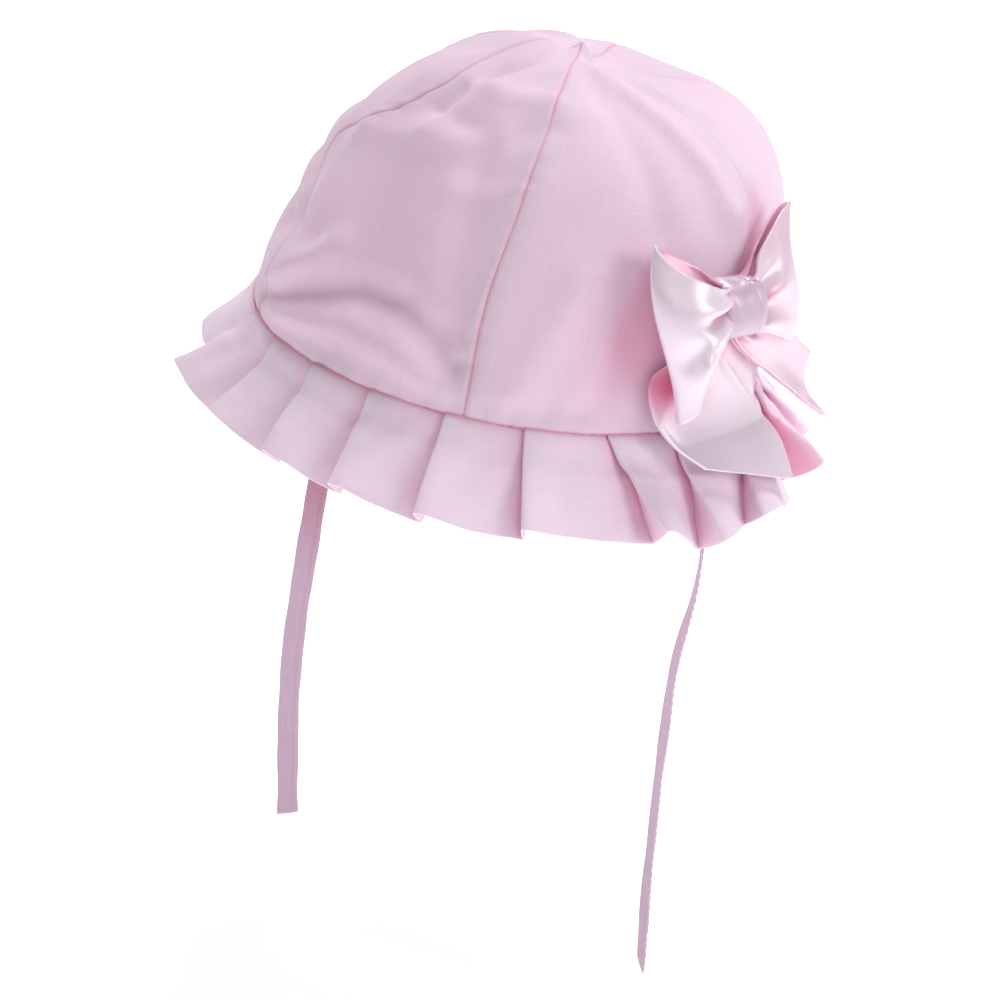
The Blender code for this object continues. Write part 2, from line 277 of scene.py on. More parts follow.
def clothMaterial(name, look):
    # woven cloth: threads and slubs on the piece's own uv map, and a deeper colour mixed in by the deep
    # attribute: seam lines and selvedges, and painted shade in folds, recesses and shadows
    material, tree, shader = newMaterial(name)
    uv = addNode(tree, "ShaderNodeUVMap", uv_map="cloth").outputs[0]
    place = addNode(tree, "ShaderNodeTexCoord").outputs["Object"]
    deep = addNode(tree, "ShaderNodeAttribute", attribute_name="deep").outputs["Fac"]

    waves = []
    for scale, way in ((look["threads"], "X"), (look["threads"] * look["weftShare"], "Y")):
        values = {"Scale": scale, "Distortion": 0.6, "Detail": 1.0, "Detail Scale": 0.4}
        waves.append(addNode(tree, "ShaderNodeTexWave", values, bands_direction=way))
    short, long = look["slub"], look["slub"] * 0.06
    slubAlong = stretchedNoise(tree, uv, (short, long, 1))
    slubAcross = stretchedNoise(tree, uv, (long, short, 1))
    cloud = addNode(tree, "ShaderNodeTexNoise", {"Scale": look["cloud"], "Detail": 2.0})

    slubs = mathNode(tree, "ADD", slubAlong, slubAcross)
    streaks = addNode(tree, "ShaderNodeMapRange", {"From Min": 0.78, "From Max": 1.22})
    uneven = mathNode(tree, "ADD", mathNode(tree, "MULTIPLY", streaks.outputs["Result"], look["slubTint"]),
                      mathNode(tree, "MULTIPLY", cloud.outputs["Fac"], look["cloudTint"]))
    base = mixColour(tree, uneven, look["pale"], look["worn"])

    weave = mathNode(tree, "MULTIPLY", waves[0].outputs["Fac"], waves[1].outputs["Fac"])
    relief = mathNode(tree, "ADD", mathNode(tree, "MULTIPLY", weave, look["weaveShare"]), slubs)
    bump = addNode(tree, "ShaderNodeBump", {"Strength": look["bump"], "Distance": look["bumpDepth"]})
    roughness = {"To Min": look["rough"] - 0.05, "To Max": look["rough"] + 0.05}
    rough = addNode(tree, "ShaderNodeMapRange", roughness)
    joinAll(tree, (
        (uv, waves[0].inputs["Vector"]), (uv, waves[1].inputs["Vector"]), (place, cloud.inputs["Vector"]),
        (slubs, streaks.inputs["Value"]), (relief, bump.inputs["Height"]), (slubAlong, rough.inputs["Value"]),
        (mixColour(tree, deep, base, look["fold"]), shader.inputs["Base Color"]),
        (bump.outputs["Normal"], shader.inputs["Normal"]),
        (rough.outputs["Result"], shader.inputs["Roughness"]),
    ))
    for socket, value in look["shader"].items():
        shader.inputs[socket].default_value = value
    return material


# light that passes through thin cloth
throughCloth = {"Subsurface Weight": 0.12, "Subsurface Radius": (1.0, 0.30, 0.5), "Subsurface Scale": 0.0030}
# each look's fold colour is the deeper pink of seam lines and of painted shade
cottonLook = {
    "pale": (0.83, 0.67, 0.785), "worn": (0.79, 0.605, 0.73), "fold": (0.84, 0.30, 0.46),
    "threads": 760.0, "weftShare": 0.94, "slub": 1400.0, "slubTint": 0.60, "cloud": 30.0, "cloudTint": 0.45,
    "weaveShare": 0.7, "bump": 0.40, "bumpDepth": 0.00012, "rough": 0.86,
    "shader": {
        "Sheen Weight": 0.14, "Sheen Roughness": 0.40, "Sheen Tint": (1.0, 0.94, 1.0, 1.0),
        "Specular IOR Level": 0.22, **throughCloth,
    },
}
satinLook = {
    "pale": (0.90, 0.79, 0.89), "worn": (0.88, 0.71, 0.825), "fold": (0.84, 0.27, 0.43),
    "threads": 1500.0, "weftShare": 0.3, "slub": 900.0, "slubTint": 0.22, "cloud": 40.0, "cloudTint": 0.3,
    "weaveShare": 0.5, "bump": 0.10, "bumpDepth": 0.0001, "rough": 0.30,
    "shader": {
        "Sheen Weight": 0.04, "Sheen Roughness": 0.3, "Specular IOR Level": 0.7,
        "Metallic": 0.20, "Anisotropic": 0.6, **throughCloth,
    },
}
threadLook = {
    "pale": (0.66, 0.40, 0.53), "worn": (0.58, 0.32, 0.45), "fold": (0.58, 0.25, 0.38),
    "threads": 2600.0, "weftShare": 1.0, "slub": 2000.0, "slubTint": 0.3, "cloud": 300.0, "cloudTint": 0.4,
    "weaveShare": 0.6, "bump": 0.3, "bumpDepth": 0.00005, "rough": 0.7, "shader": {"Sheen Weight": 0.1},
}
# the knot's satin, the same ribbon as the loops', painted darker as shade
shadedKnotLook = dict(satinLook, pale=(0.66, 0.54, 0.65), worn=(0.62, 0.48, 0.60), rough=0.38)
# the ties' cotton, the same cloth as the crown's, painted darker as shade
shadedTapeLook = dict(cottonLook, pale=(0.66, 0.54, 0.65), worn=(0.58, 0.45, 0.565), fold=(0.46, 0.17, 0.25))
# the frill's cotton, the same cloth as the crown's, painted lighter as painted light on the brim
litFrillLook = dict(cottonLook, pale=(0.91, 0.785, 0.895), worn=(0.875, 0.72, 0.84))
cotton = clothMaterial("pale pink cotton", cottonLook)
litFrillCotton = clothMaterial("pale pink cotton of the frill, with painted light", litFrillLook)
tape = clothMaterial("pink cotton tape, painted darker as shade", shadedTapeLook)
shadedKnotSatin = clothMaterial("pale pink satin of the knot, painted darker as shade", shadedKnotLook)
satin = clothMaterial("pale pink satin", satinLook)
thread = clothMaterial("pink thread", threadLook)


# stitches: small rounds of thread laid along a path

def stitchTree():
    tree = bpy.data.node_groups.new("stitches on a path", "GeometryNodeTree")
    tree.is_modifier = True
    inputs = {"Path": "Geometry", "Spacing": "Float", "Length": "Float", "Thickness": "Float",
              "Seed": "Int", "Thread": "Material"}
    for name, kind in inputs.items():
        tree.interface.new_socket(name, in_out="INPUT", socket_type="NodeSocket" + kind)
    tree.interface.new_socket("Stitches", in_out="OUTPUT", socket_type="NodeSocketGeometry")
    asked = tree.nodes.new("NodeGroupInput").outputs
    given = tree.nodes.new("NodeGroupOutput")
    curve = addNode(tree, "GeometryNodeMeshToCurve")
    spaced = addNode(tree, "GeometryNodeResampleCurve", mode="LENGTH")
    stitch = addNode(tree, "GeometryNodeMeshUVSphere", {"Segments": 8, "Rings": 6, "Radius": 0.5})
    tangent = addNode(tree, "GeometryNodeInputTangent")
    aligned = addNode(tree, "FunctionNodeAlignRotationToVector", axis="X")
    uneven = addNode(tree, "FunctionNodeRandomValue", {2: 0.85, 3: 1.12})
    longer = addNode(tree, "ShaderNodeMath", operation="MULTIPLY")
    size = addNode(tree, "ShaderNodeCombineXYZ")
    placed = addNode(tree, "GeometryNodeInstanceOnPoints")
    real = addNode(tree, "GeometryNodeRealizeInstances")
    painted = addNode(tree, "GeometryNodeSetMaterial")
    joinAll(tree, (
        (asked["Path"], curve.inputs["Mesh"]),
        (curve.outputs["Curve"], spaced.inputs["Curve"]),
        (asked["Spacing"], spaced.inputs["Length"]),
        (tangent.outputs["Tangent"], aligned.inputs["Vector"]),
        (asked["Seed"], uneven.inputs["Seed"]),
        (asked["Length"], longer.inputs[0]),
        (uneven.outputs[1], longer.inputs[1]),
        (longer.outputs[0], size.inputs["X"]),
        (asked["Thickness"], size.inputs["Y"]),
        (asked["Thickness"], size.inputs["Z"]),
        (spaced.outputs["Curve"], placed.inputs["Points"]),
        (stitch.outputs["Mesh"], placed.inputs["Instance"]),
        (aligned.outputs["Rotation"], placed.inputs["Rotation"]),
        (size.outputs["Vector"], placed.inputs["Scale"]),
        (placed.outputs["Instances"], real.inputs["Geometry"]),
        (real.outputs["Geometry"], painted.inputs["Geometry"]),
        (asked["Thread"], painted.inputs["Material"]),
        (painted.outputs["Geometry"], given.inputs["Stitches"]),
    ))
    return tree


stitches = stitchTree()


def addStitches(name, path, closed, **settings):
    # a row of stitches along the path, turned into a plain mesh
    count = len(path)
    steps = [(k, (k + 1) % count) for k in range(count if closed else count - 1)]
    mesh = bpy.data.meshes.new(name)
    mesh.from_pydata(path.tolist(), steps, [])
    piece = addObject(name, mesh)
    row = piece.modifiers.new("stitches", "NODES")
    row.node_group = stitches
    settings["Thread"] = thread
    for item in stitches.interface.items_tree:
        if item.in_out == "INPUT" and item.name in settings:
            row[item.identifier] = settings[item.name]
    bpy.context.view_layer.update()
    graph = bpy.context.evaluated_depsgraph_get()
    made = bpy.data.meshes.new_from_object(piece.evaluated_get(graph))
    piece.modifiers.remove(row)
    piece.data = made
    made.name = name
    made.shade_smooth()
    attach(piece, "root")
    return piece


# ties: two flat cords that hang from inside the brim seam

tie = {
    "width": 0.0064, "wall": 0.0011, "backAngle": 11.0, "rise": 0.0030, "reach": 0.07045,
    "columns": 16, "rows": 240, "pillow": 0.35, "wave": 0.00007, "endSlant": 0.18,
    "lengths": {"left": 0.1735, "right": 0.1865}, "brimShade": {"left": 0.15, "right": 1.0}, "brimShadeEnd": 0.50,
    "crease": {"share": 0.55, "width": 0.12, "colour": 0.22},
    "stitches": {"Spacing": 0.0026, "Length": 0.0019, "Thickness": 0.00028, "Seed": 11},
}
tieColumns = ("down", "sway", "swing", "turn")
tieRoutes = {
    "right": table(tieColumns, (
        (0, 0, 0, 0),
        (0.12, 0.0008, 0.001, -6),
        (0.25, 0.0004, 0.0022, -22),
        (0.4, -0.0008, 0.0036, -38),
        (0.54, 0.0004, 0.005, -42),
        (0.68, 0.0022, 0.0064, -42),
        (0.8, 0.0056, 0.0076, -40),
        (0.9, 0.01, 0.0084, -42),
        (1, 0.0148, 0.009, -43),
    )),
    "left": table(tieColumns, (
        (0, 0, 0, 0),
        (0.1, 0.0022, 0, 4),
        (0.2, 0.0048, 0, 16),
        (0.32, 0.0054, -0.0008, 32),
        (0.46, 0.0034, -0.0016, 42),
        (0.58, 0.0046, -0.0022, 47),
        (0.7, 0.0062, -0.003, 44),
        (0.82, 0.0082, -0.0038, 47),
        (0.92, 0.0104, -0.0044, 50),
        (1, 0.0122, -0.005, 49),
    )),
}


def tieFrame(side, down):
    # centre of the tie and the way its width runs, at shares of its length
    sign = 1.0 if side == "left" else -1.0
    rows, length = tieRoutes[side], tie["lengths"][side]
    back = math.radians(tie["backAngle"])
    sway, swing, turn = (smoothCurve(rows, "down", k)(down) for k in ("sway", "swing", "turn"))
    centre = np.stack([sign * tie["reach"] * math.cos(back) + sway,
                       tie["reach"] * math.sin(back) - swing,
                       tie["rise"] - (length + tie["rise"]) * down], -1)
    face = np.radians(90.0 + sign * tie["backAngle"] + turn)
    across = np.stack([np.cos(face), np.sin(face), np.zeros_like(face)], -1)
    return centre, across


def addTie(side):
    down = np.linspace(0, 1, tie["rows"])
    centre, across = tieFrame(side, down)
    share = np.sin(np.linspace(-1, 1, tie["columns"]) * math.pi / 2)
    width = tie["width"] * (1 + 0.03 * np.sin(down * 37.0) + 0.02 * np.sin(down * 83.0 + 1))
    middle = centre[None] + across[None] * (share[:, None] * width[None] / 2 * 0.97)[..., None]
    facing = np.cross(across, np.array([0, 0, 1.0]))
    ripple = tie["wave"] * (np.sin(down * 41.0)[None] * share[:, None] + np.sin(down * 27.0)[None])
    middle += facing[None] * ripple[..., None]
    middle[..., 2] += smoothStep(0.97, 1.0, down)[None] * share[:, None] * tie["width"] * tie["endSlant"]
    thick = tie["wall"] * (1 - tie["pillow"] * share ** 2)[:, None] * np.ones(len(down))[None]
    uv = np.stack(np.broadcast_arrays(share[:, None] * tie["width"] / 2,
                                      down[None] * tie["lengths"][side]), -1)
    crease = tie["crease"]
    # painted shade of the brim on the top of each tie, fading further down; a darker band runs along the tape
    # off its middle
    deep = tie["brimShade"][side] * np.exp(-(down / tie["brimShadeEnd"]) ** 6)[None]
    deep = deep + crease["colour"] * bell(share - crease["share"], crease["width"])[:, None]
    piece = newMesh("tie_" + side + "_strip", [shellPart(middle, thick, uv, deep, facing[None])])
    keep(piece, tape, "tie_" + side)
    stand = tie["wall"] * (0.42 if side == "left" else -0.42)
    row = middle[2, 4:-6] + facing[4:-6] * stand
    seam = addStitches("tie_" + side + "_stitches", row, False, **tie["stitches"])
    return piece, centre, seam


ties = {side: addTie(side) for side in ("left", "right")}
print("ties made")


# crown: six gores

crown = {
    "radius": 0.073, "height": 0.0865, "setback": 0.0095, "wall": 0.00042, "goreLength": 0.128,
    "columns": 84, "rows": 132, "cut": (0.0865, 0.1290), "cutArea": 0.0074,
    "seamAllowance": 0.0050, "turnDepth": 0.00125, "seamGap": 0.00016,
    "ditch": 0.00052, "ditchWidth": 0.00060, "foldStrength": 1.60,
    "noise": ((0.00075, 0.023, 1.5), (0.00020, 0.009, 9.1)),
    "puckerEvery": 0.0062, "puckerReach": 0.0042, "puckerDepth": 0.00034,
    "rollDepth": 0.0006, "rollReach": 0.0009, "puffDepth": 0.00022, "puffReach": 0.004,
    "seamColour": ((0.66, 0.00040), (0.12, 0.0020)), "hemColour": 0.62, "hemReach": 0.0006,
}
# painted shadows: the bow's shadow on the cloth beside it, in deeper pink, and a strip of painted shade
# beside its back loop
bowShadow = {"angle": -24.0, "wide": 8.0, "along": 0.22, "high": 0.13, "colour": 0.46}
backLoopShade = {"line": ((1.0, 0.34), (4.0, 0.40), (9.5, 0.51)), "width": 0.0034, "colour": 0.40}
rings = table(("along", "height", "radius", "setback", "lean"), (
    (0, 0, 1, 0, 0),
    (0.1, 0.13, 0.998, 0.14, 0),
    (0.22, 0.3, 0.982, 0.5, 0),
    (0.34, 0.465, 0.948, 0.95, 0),
    (0.46, 0.62, 0.88, 1.32, 0),
    (0.58, 0.76, 0.775, 1.5, 0.5),
    (0.7, 0.868, 0.622, 1.5, 1.5),
    (0.8, 0.926, 0.448, 1.36, 2),
    (0.9, 0.97, 0.238, 1.18, 4),
    (1, 1, 0, 1, 5),
))
ringHeight, ringRadius, ringSetback, ringLean = (
    smoothCurve(rings, "along", k) for k in ("height", "radius", "setback", "lean"))

# broad hollows and swellings of the crown, in degrees and shares of its length
dents = table(("angle", "along", "across", "length", "push"), (
    (-88, 0.22, 10, 0.16, -0.0022),
    (-112, 0.12, 9, 0.1, 0.0012),
    (-30, 0.3, 12, 0.2, 0.001),
    (-26, 0.8, 9, 0.1, -0.0012),
    (-140, 0.55, 38, 0.3, -0.0036),
    (-139, 0.46, 15, 0.1, 0.0052),
    (-136, 0.27, 13, 0.085, -0.003),
    (150, 0.4, 12, 0.18, -0.0018),
    (95, 0.25, 11, 0.16, -0.0015),
    (215, 0.3, 10, 0.18, 0.0012),
))

# soft folds of the cloth: the line each runs along, its width and its push in metres
folds = table(("line", "width", "push"), (
    (((-121, 0.06), (-108, 0.12), (-99, 0.16), (-89, 0.2), (-77, 0.205), (-68, 0.17), (-62, 0.115)),
     0.0054, -0.0019),
    (((-116, 0.04), (-100, 0.09), (-88, 0.12), (-74, 0.11), (-66, 0.06)), 0.006, 0.0016),
    (((-122, 0.09), (-108, 0.19), (-100, 0.26)), 0.0045, 0.0011),
    (((-134, 0.2), (-122, 0.24), (-110, 0.25)), 0.0055, -0.0012),
    (((-76, 0.55), (-71, 0.42), (-68, 0.3), (-64, 0.2)), 0.0065, -0.001),
    (((-80, 0.93), (-94, 0.8), (-99, 0.7), (-99, 0.62)), 0.0042, -0.0019),
    (((-72, 0.93), (-80, 0.8), (-88, 0.66), (-95, 0.55)), 0.004, 0.001),
    (((-118, 0.5), (-100, 0.52), (-86, 0.56), (-74, 0.6)), 0.005, 0.0009),
    (((-40, 0.96), (-28, 0.86), (-16, 0.72), (-7, 0.6), (-3, 0.5)), 0.004, 0.001),
    (((-52, 0.9), (-40, 0.78), (-30, 0.62), (-24, 0.46)), 0.005, -0.0007),
    (((-30, 0.93), (-12, 0.84), (4, 0.74)), 0.0045, -0.0009),
    (((-48, 0.02), (-44, 0.16), (-40, 0.34)), 0.006, 0.0008),
    (((-30, 0.02), (-27, 0.14), (-24, 0.28)), 0.005, -0.0008),
    (((12, 0.03), (20, 0.2), (30, 0.38)), 0.0055, -0.0012),
    (((58, 0.02), (50, 0.18), (44, 0.36)), 0.005, 0.001),
    (((20, 0.95), (60, 0.91), (105, 0.92)), 0.015, -0.0026),
    (((-170, 0.7), (-150, 0.8)), 0.013, -0.0013),
    (((100, 0.86), (150, 0.8)), 0.01, -0.0014),
    (((-58, 0.66), (-72, 0.6), (-88, 0.6)), 0.0045, -0.0008),
    (((-62, 0.74), (-80, 0.7), (-98, 0.72)), 0.004, 0.0008),
    (((-57, 0.52), (-66, 0.47), (-78, 0.46)), 0.0045, 0.0006),
    (((0, 0.965), (50, 0.97), (110, 0.97), (170, 0.965)), 0.006, -0.0012),
    (((-150, 0.9), (-125, 0.93)), 0.008, 0.001),
    (((70, 0.05), (84, 0.2), (104, 0.24), (118, 0.14)), 0.005, -0.0014),
    (((78, 0.03), (92, 0.1), (108, 0.1)), 0.0055, 0.0012),
    (((124, 0.6), (138, 0.46), (150, 0.3), (156, 0.14)), 0.0055, -0.0013),
    (((134, 0.9), (146, 0.74), (160, 0.62)), 0.004, 0.001),
    (((184, 0.1), (196, 0.22), (212, 0.3), (226, 0.26)), 0.005, 0.0011),
    (((190, 0.62), (204, 0.52), (220, 0.48)), 0.005, -0.0012),
))

# how far each seam wanders from its even place, in degrees at shares of its length
seamSway = {
    5: ((0, 4.2), (0.1, 3.6), (0.2, 2), (0.32, 0.6), (0.5, 0), (1, 0)),
    4: ((0, -2.5), (0.155, -2), (0.28, -8), (0.4, -10.5), (0.49, -3.5), (0.57, 6.5), (0.64, 11.5),
        (0.69, 13), (0.78, 9), (0.84, 5), (0.9, 1), (1, 0)),
    0: ((0, 0), (0.34, 0.5), (0.42, 3), (0.52, 6), (0.64, 3.5), (0.8, 0), (1, 0)),
    1: ((0, -1), (0.5, 1.5), (1, 0)),
    2: ((0, 0.8), (0.5, -1.2), (1, 0)),
    3: ((0, 0), (0.4, 1), (1, 0)),
}
seamStrength = (0.25, 0.9, 0.9, 0.9, 1.0, 1.0)


def smoothCrown(angle, along):
    # the crown's outer surface without its folds
    radius = crown["radius"] * np.maximum(ringRadius(along), 0)
    off = (angle % 60.0) - 30.0
    flat = 0.12 * np.minimum(1, 4 * along) + 0.50 * along ** 2
    radius = radius * (1 + flat * (math.cos(math.radians(30)) / np.cos(np.radians(off)) - 1))
    push = np.zeros(np.broadcast(angle, along).shape)
    for dent in dents:
        turn = (angle - dent["angle"] + 180) % 360 - 180
        push = push + dent["push"] * np.exp(-(turn / dent["across"]) ** 2
                                            - ((along - dent["along"]) / dent["length"]) ** 2)
    radius = radius + push * (1 - along)
    point = atTurn(radius, np.radians(angle), crown["height"] * ringHeight(along) + push * along)
    point[..., 2] -= point[..., 1] * np.tan(np.radians(ringLean(along)))
    point[..., 1] += crown["setback"] * ringSetback(along)
    return point


def crownNormal(angle, along):
    along = np.clip(along, 0.0, 0.985)
    turned = smoothCrown(angle + 0.4, along) - smoothCrown(angle - 0.4, along)
    risen = smoothCrown(angle, along + 0.004) - smoothCrown(angle, along - 0.004)
    return unit(np.cross(turned, risen))


def distanceTo(line, angle, along):
    # metres over the cloth from points to a line given as angles and shares
    best = np.full(np.broadcast(angle, along).shape, 1.0)
    radius = crown["radius"] * np.maximum(ringRadius(along), 0.02)
    for (a0, s0), (a1, s1) in zip(line, line[1:]):
        x0 = np.radians((angle - a0 + 180) % 360 - 180) * radius
        y0 = (along - s0) * crown["goreLength"]
        dx = np.radians(a1 - a0) * radius
        dy = (s1 - s0) * crown["goreLength"]
        t = np.clip((x0 * dx + y0 * dy) / (dx * dx + dy * dy), 0, 1)
        best = np.minimum(best, np.hypot(x0 - t * dx, y0 - t * dy))
    return best


def foldPush(angle, along):
    push = np.zeros(np.broadcast(angle, along).shape)
    for fold in folds:
        push += fold["push"] * bell(distanceTo(fold["line"], angle, along), fold["width"])
    return push


def swayAt(seam, along):
    rows = table(("along", "sway"), seamSway[seam % 6])
    return smoothCurve(rows, "along", "sway")(along)


def addGore(number):
    start, wide, length = (number - 1) * 60.0, 60.0, crown["goreLength"]
    along = np.linspace(0, 0.9955, crown["rows"]) ** 0.97
    radius = crown["radius"] * np.maximum(ringRadius(along), 0.004)
    left = start + swayAt(number - 1, along)
    right = start + wide + swayAt(number, along)
    width = np.radians(right - left) * radius
    # distance from the seam and depth under the surface, where the edge turns in
    turnIn = ((1.0, 1.05), (0.55, 1.08), (0.16, 1.02), (0.06, 0.90), (0.02, 0.72), (0.012, 0.55))
    shares = np.linspace(0, 1, crown["columns"])
    shares = 0.5 - 0.5 * np.cos(shares * math.pi) * (0.80 + 0.20 * np.cos(shares * math.pi) ** 2)
    reach = np.minimum(crown["seamAllowance"], 0.30 * width)
    narrow = crown["turnDepth"] * np.minimum(1, width / 0.006)
    flats = [far * reach for far, _ in turnIn]
    depths = [depth * narrow for _, depth in turnIn]
    for share in shares:
        edge = np.minimum(share, 1 - share) * width
        ditch = crown["ditch"] * np.exp(-(edge / crown["ditchWidth"]) ** 1.3)
        flats.append(crown["seamGap"] + share * (width - 2 * crown["seamGap"]))
        depths.append(ditch * np.minimum(1, width / 0.004))
    flats = np.array(flats + [width - far * reach for far, _ in reversed(turnIn)])
    depths = np.array(depths + [depth * narrow for _, depth in reversed(turnIn)])
    nearer = flats < width[None] / 2
    strength = np.where(nearer, seamStrength[number - 1], seamStrength[number % 6])
    depths = np.where(depths < 0.00067, depths * strength, depths)
    angle = left[None] + np.degrees(flats / radius[None])
    rows = np.broadcast_to(along[None], angle.shape)
    base = smoothCrown(angle, rows)
    normal = crownNormal(angle, rows)
    fade = np.minimum(1, (1 - rows) * 22) * smoothStep(0.0, 0.05, rows)
    edge = np.minimum(flats, width[None] - flats)
    pucker = np.sin(rows * length / crown["puckerEvery"] * 2 * math.pi
                    + 2.2 * softNoise(base, 0.02, 5.0)) * bell(edge, crown["puckerReach"])
    push = crown["foldStrength"] * foldPush(angle, rows) * fade * smoothStep(0.0, 0.09, rows)
    for depth, size, seed in crown["noise"]:
        push += depth * softNoise(base, size, seed) * fade
    push += crown["puckerDepth"] * pucker * fade * softNoise(base, 0.03, 3.3)
    # the lower edge rolls in to the brim seam
    push -= crown["rollDepth"] * np.exp(-(rows * length / crown["rollReach"]) ** 1.2)
    puff = bell(rows * length - crown["puffReach"], crown["puffReach"])
    push += crown["puffDepth"] * puff * np.sin(np.radians(angle) * 57.0 + 2.0 * softNoise(base, 0.03, 7.7))
    middle = base + normal * (push - depths - crown["wall"] / 2)[..., None]
    uv = np.stack([flats, rows * length], -1)
    deep = strength ** 2 * sum(colour * bell(edge, reach) for colour, reach in crown["seamColour"])
    deep = deep + crown["hemColour"] * bell(rows * length, crown["hemReach"])
    if number in (1, 6):
        # painted shadow of the bow and painted shade beside its back loop
        aside = (angle - bowShadow["angle"] + 180) % 360 - 180
        paintedShadow = bell(aside, bowShadow["wide"]) * bell(rows - bowShadow["along"], bowShadow["high"])
        beside = bell(distanceTo(backLoopShade["line"], angle, rows), backLoopShade["width"])
        deep = deep + bowShadow["colour"] * paintedShadow + backLoopShade["colour"] * beside
    deep = deep * (depths < 0.0009)
    piece = newMesh("gore_%d" % number, [shellPart(middle, crown["wall"], uv, deep, normal)])
    keep(piece, cotton, "crown_gore_%d" % number)
    return piece


gores = [addGore(number) for number in range(1, 7)]
print("gores made")


# brim: one strip in knife pleats

brim = {
    "width": 0.0300, "strip": 0.0342, "flare": 43.0, "lift": 13.0, "wall": 0.00062, "rows": 29,
    "underSeam": 4.4, "underHem": 1.0, "inset": 0.0023, "allowance": (0.14, 0.09, 0.05, 0.02),
    "layerGap": 0.0011, "wrinkle": 0.00085, "slantWrinkle": 0.00080, "gather": 0.00022, "puff": 0.0007,
    "hemWave": 0.0006, "underShade": 0.50, "innerShade": 0.22, "seamColour": 0.60,
}
# the shadow of the bow's tails on the brim, painted in deeper pink
tailShadow = {"angle": 37, "wide": 7, "colour": 0.45}
pleats = table(("seam", "hem", "flare", "sink", "width"), (
    (-158, -158, -15, 2.6, 0.97),
    (-122.5, -128, -5, 1, 0.91),
    (-107, -106, -5, 1, 0.91),
    (-93, -90, -6, 1, 0.92),
    (-77, -75, -5, 1, 0.96),
    (-59.5, -59.5, -3, 1, 1),
    (-42.5, -42, 0, 1.3, 1),
    (-24, -17.5, 4, 1.4, 0.98),
    (-7.5, -4.5, -4, 1, 1.09),
    (13, 6, 0, 2, 0.98),
    (34, 35, 2, 1, 1),
    (51, 52, -2, 1.2, 1),
    (68, 69, 1, 0.9, 0.98),
    (84, 84, 2, 1.1, 1),
    (101, 100, -3, 1, 1),
    (117, 117, 0, 1.2, 0.98),
    (134, 135, 2, 1, 1),
    (151, 150, -1, 1.1, 1),
    (167, 168, 1, 0.9, 0.98),
    (185, 184, -2, 1, 1),
))

# one pleat in section: share of the way to the next fold, how high it stands from the
# inner layer, 0, to the outer, 1, and how far it has run under the next fold
pleatSection = (
    (0, 1, 0), (0.035, 1.07, 0), (0.11, 1.06, 0), (0.24, 0.93, 0), (0.38, 0.76, 0),
    (0.52, 0.58, 0), (0.66, 0.4, 0), (0.8, 0.2, 0), (0.92, 0.06, 0), (1, 0.02, 0.35),
    (1, 0, 0.92), (1, 0.02, 1), (1, 0.1, 0.97), (1, 0.42, 0.55), (1, 0.86, 0.08),
)
# the pleats that open out towards the hem, and the one that ends narrower
softPleats = {7: 0.45, 8: 0.55, 9: 0.4, 0: 0.7}
shortPleats = {0: 0.80}


def chaikin(grid):
    # rounds the corners of a closed run of points, which then has twice as many
    after = np.roll(grid, -1, axis=0)
    both = np.stack([0.75 * grid + 0.25 * after, 0.25 * grid + 0.75 * after], axis=1)
    return both.reshape(-1, *grid.shape[1:])


